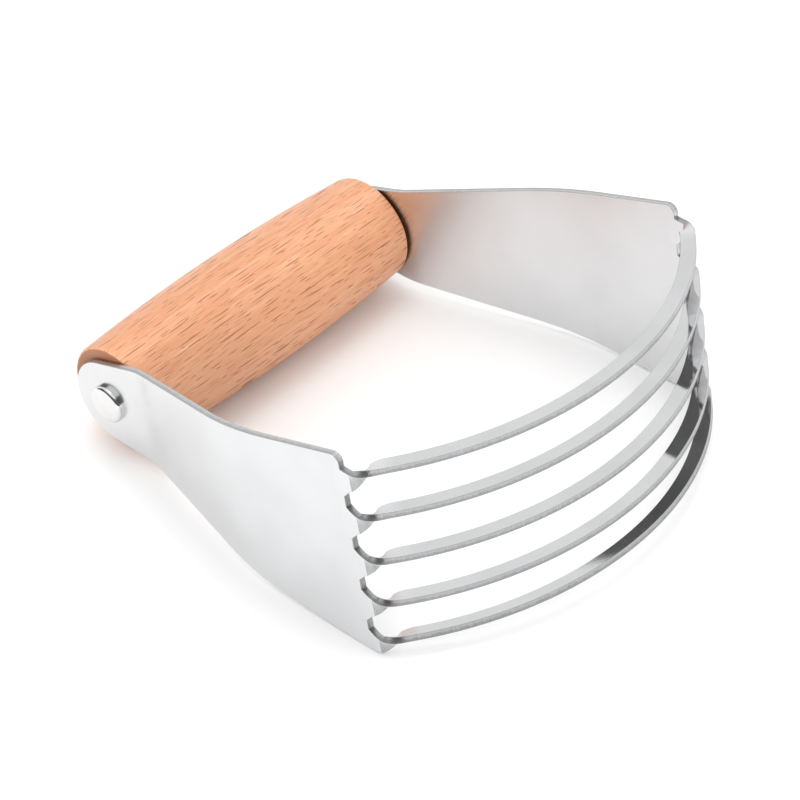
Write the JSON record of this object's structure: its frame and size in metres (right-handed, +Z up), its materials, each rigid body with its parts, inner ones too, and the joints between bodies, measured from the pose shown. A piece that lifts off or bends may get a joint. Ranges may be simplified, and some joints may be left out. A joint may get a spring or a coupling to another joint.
{
  "type": "pastry blender",
  "caption": "Hand-held pastry blender: arched, twisted sheet-metal blades between two S-bent side plates, with a turned wooden barrel handle on a tie rod.",
  "frame": {"origin": "on the floor, under the middle of the bounding box of the tool as it lies at rest", "axes": "+X from the handle to the blades, +Y along the handle to the left side plate, +Z up"},
  "size_m": [0.1336, 0.1126, 0.0516],
  "materials": {
    "beech": "satin",
    "stainless_sheet": "satin",
    "polished_steel": "polished",
    "plain_steel": "plain"
  },
  "bodies": {
    "frame": {"side_plate_left": "stainless_sheet", "side_plate_right": "stainless_sheet", "blade_1": "stainless_sheet", "blade_2": "stainless_sheet", "blade_3": "stainless_sheet", "blade_4": "stainless_sheet", "blade_5": "stainless_sheet", "tie_rod": "plain_steel", "rod_head_left": "polished_steel", "rod_head_right": "polished_steel"},
    "handle": {"handle": "beech"}
  },
  "joints": [
    {"name": "handle_turn", "type": "hinge", "parent": "frame", "child": "handle", "pos_m": [-0.05178, 0, 0.015], "axis": [0, 1, 0], "continuous": true}
  ]
}
